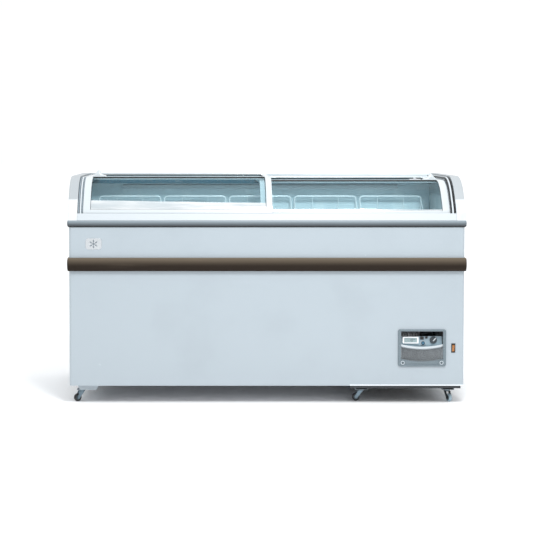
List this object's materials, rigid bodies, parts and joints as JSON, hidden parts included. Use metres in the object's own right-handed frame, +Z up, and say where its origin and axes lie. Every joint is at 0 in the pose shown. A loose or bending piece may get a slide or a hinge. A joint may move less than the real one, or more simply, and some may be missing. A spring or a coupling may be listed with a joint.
{
  "type": "chest freezer",
  "caption": "Display chest freezer with curved sliding glass lids, wire baskets, bumper strip, control panel and swivel casters.",
  "frame": {"origin": "on the floor, under the middle of the whole object", "axes": "X along the length, to the right as seen from the front; front faces -Y; Z up"},
  "size_m": [1.558, 0.724, 0.916],
  "materials": {
    "painted_steel": "gloss",
    "galvanised_steel": "satin",
    "foam": "matte",
    "liner": "satin",
    "grey_trim": "satin",
    "brown_bumper": "satin",
    "white_plastic": "satin",
    "rail_grey": "satin",
    "lamp": "gloss",
    "badge_metal": "satin",
    "lid_white": "gloss",
    "glass": "clear",
    "lock_metal": "polished",
    "silver_plastic": "satin",
    "fascia_grey": "satin",
    "grille_grey": "matte",
    "display": "gloss",
    "black_plastic": "matte",
    "knob_grey": "satin",
    "button_blue": "gloss",
    "rocker_amber": "gloss",
    "dark_steel": "satin",
    "zinc": "satin",
    "wheel_black": "matte",
    "compressor_black": "satin",
    "copper": "satin",
    "basket_wire": "gloss"
  },
  "bodies": {
    "root": {"outer_shell": "painted_steel", "back_panel": "painted_steel", "base_panel": "galvanised_steel", "compressor_bay_liner": "galvanised_steel", "insulation_foam": "foam", "inner_tank": "liner", "rim_trim": "grey_trim", "bumper_strip": "brown_bumper", "badge_plate": "badge_metal", "left_end_cap": "white_plastic", "right_end_cap": "white_plastic", "side_channels": "white_plastic", "front_rail": "white_plastic", "rear_rail": "rail_grey", "lamp_cover": "lamp", "control_bezel": "silver_plastic", "control_fascia": "fascia_grey", "vent_grille": "grille_grey", "thermometer_display": "display", "indicator_lamps": "black_plastic", "thermostat_body": "black_plastic", "switch_housing": "black_plastic", "compressor_tray": "dark_steel", "caster_rails": "painted_steel", "caster_plates": "zinc", "compressor": "compressor_black", "condenser": "galvanised_steel", "fan_motor": "black_plastic", "refrigerant_pipes": "copper", "evaporator_coil": "copper", "rear_vent_grille": "grille_grey", "cable_gland": "black_plastic", "basket_1": "basket_wire", "basket_2": "basket_wire", "basket_3": "basket_wire", "basket_4": "basket_wire", "basket_5": "basket_wire"},
    "left_lid": {"left_lid_frame": "lid_white", "left_lid_glass": "glass", "left_lid_handle": "lid_white"},
    "right_lid": {"right_lid_frame": "lid_white", "right_lid_glass": "glass", "right_lid_handle": "lid_white", "right_lid_lock": "lock_metal"},
    "thermostat_knob": {"thermostat_knob": "knob_grey"},
    "push_button": {"push_button": "button_blue"},
    "rocker": {"rocker": "rocker_amber"},
    "fan_blade": {"fan_blade": "black_plastic"},
    "front_left_fork": {"front_left_fork": "zinc"},
    "front_left_wheel": {"front_left_wheel": "wheel_black"},
    "front_middle_fork": {"front_middle_fork": "zinc"},
    "front_middle_wheel": {"front_middle_wheel": "wheel_black"},
    "front_right_fork": {"front_right_fork": "zinc"},
    "front_right_wheel": {"front_right_wheel": "wheel_black"},
    "rear_left_fork": {"rear_left_fork": "zinc"},
    "rear_left_wheel": {"rear_left_wheel": "wheel_black"},
    "rear_middle_fork": {"rear_middle_fork": "zinc"},
    "rear_middle_wheel": {"rear_middle_wheel": "wheel_black"},
    "rear_right_fork": {"rear_right_fork": "zinc"},
    "rear_right_wheel": {"rear_right_wheel": "wheel_black"}
  },
  "joints": [
    {"name": "left_lid_slide", "type": "slide", "parent": "root", "child": "left_lid", "axis": [1, 0, 0], "range_m": [0, 0.55]},
    {"name": "right_lid_slide", "type": "slide", "parent": "root", "child": "right_lid", "axis": [1, 0, 0], "range_m": [-0.55, 0]},
    {"name": "thermostat_turn", "type": "hinge", "parent": "root", "child": "thermostat_knob", "pos_m": [0.6568, -0.334, 0.249], "axis": [0, -1, 0], "range_deg": [-140, 130]},
    {"name": "button_press", "type": "slide", "parent": "root", "child": "push_button", "axis": [0, 1, 0], "range_m": [0, 0.002], "stiffness_N_per_m": 200},
    {"name": "rocker_tilt", "type": "hinge", "parent": "root", "child": "rocker", "pos_m": [0.732, -0.348, 0.221], "axis": [1, 0, 0], "range_deg": [-20, 0]},
    {"name": "fan_spin", "type": "hinge", "parent": "root", "child": "fan_blade", "pos_m": [0.49, -0.165, 0.1725], "axis": [0, 1, 0], "continuous": true},
    {"name": "front_left_swivel", "type": "hinge", "parent": "root", "child": "front_left_fork", "pos_m": [-0.731, -0.28, 0.042], "axis": [0, 0, 1], "continuous": true},
    {"name": "front_left_roll", "type": "hinge", "parent": "front_left_fork", "child": "front_left_wheel", "pos_m": [-0.74758, -0.29118, 0.0155], "axis": [0.5592, -0.829, 0], "continuous": true},
    {"name": "front_middle_swivel", "type": "hinge", "parent": "root", "child": "front_middle_fork", "pos_m": [0.378, -0.28, 0.042], "axis": [0, 0, 1], "continuous": true},
    {"name": "front_middle_roll", "type": "hinge", "parent": "front_middle_fork", "child": "front_middle_wheel", "pos_m": [0.35803, -0.28105, 0.0155], "axis": [0.0523, -0.9986, 0], "continuous": true},
    {"name": "front_right_swivel", "type": "hinge", "parent": "root", "child": "front_right_fork", "pos_m": [0.72, -0.28, 0.042], "axis": [0, 0, 1], "continuous": true},
    {"name": "front_right_roll", "type": "hinge", "parent": "front_right_fork", "child": "front_right_wheel", "pos_m": [0.72585, -0.29913, 0.0155], "axis": [0.9563, 0.2924, 0], "continuous": true},
    {"name": "rear_left_swivel", "type": "hinge", "parent": "root", "child": "rear_left_fork", "pos_m": [-0.731, 0.28, 0.042], "axis": [0, 0, 1], "continuous": true},
    {"name": "rear_left_roll", "type": "hinge", "parent": "rear_left_fork", "child": "rear_left_wheel", "pos_m": [-0.74832, 0.29, 0.0155], "axis": [-0.5, -0.866, 0], "continuous": true},
    {"name": "rear_middle_swivel", "type": "hinge", "parent": "root", "child": "rear_middle_fork", "pos_m": [0.378, 0.28, 0.042], "axis": [0, 0, 1], "continuous": true},
    {"name": "rear_middle_roll", "type": "hinge", "parent": "rear_middle_fork", "child": "rear_middle_wheel", "pos_m": [0.39679, 0.28684, 0.0155], "axis": [-0.342, 0.9397, 0], "continuous": true},
    {"name": "rear_right_swivel", "type": "hinge", "parent": "root", "child": "rear_right_fork", "pos_m": [0.72, 0.28, 0.042], "axis": [0, 0, 1], "continuous": true},
    {"name": "rear_right_roll", "type": "hinge", "parent": "rear_right_fork", "child": "rear_right_wheel", "pos_m": [0.72518, 0.29932, 0.0155], "axis": [-0.9659, 0.2588, 0], "continuous": true}
  ]
}
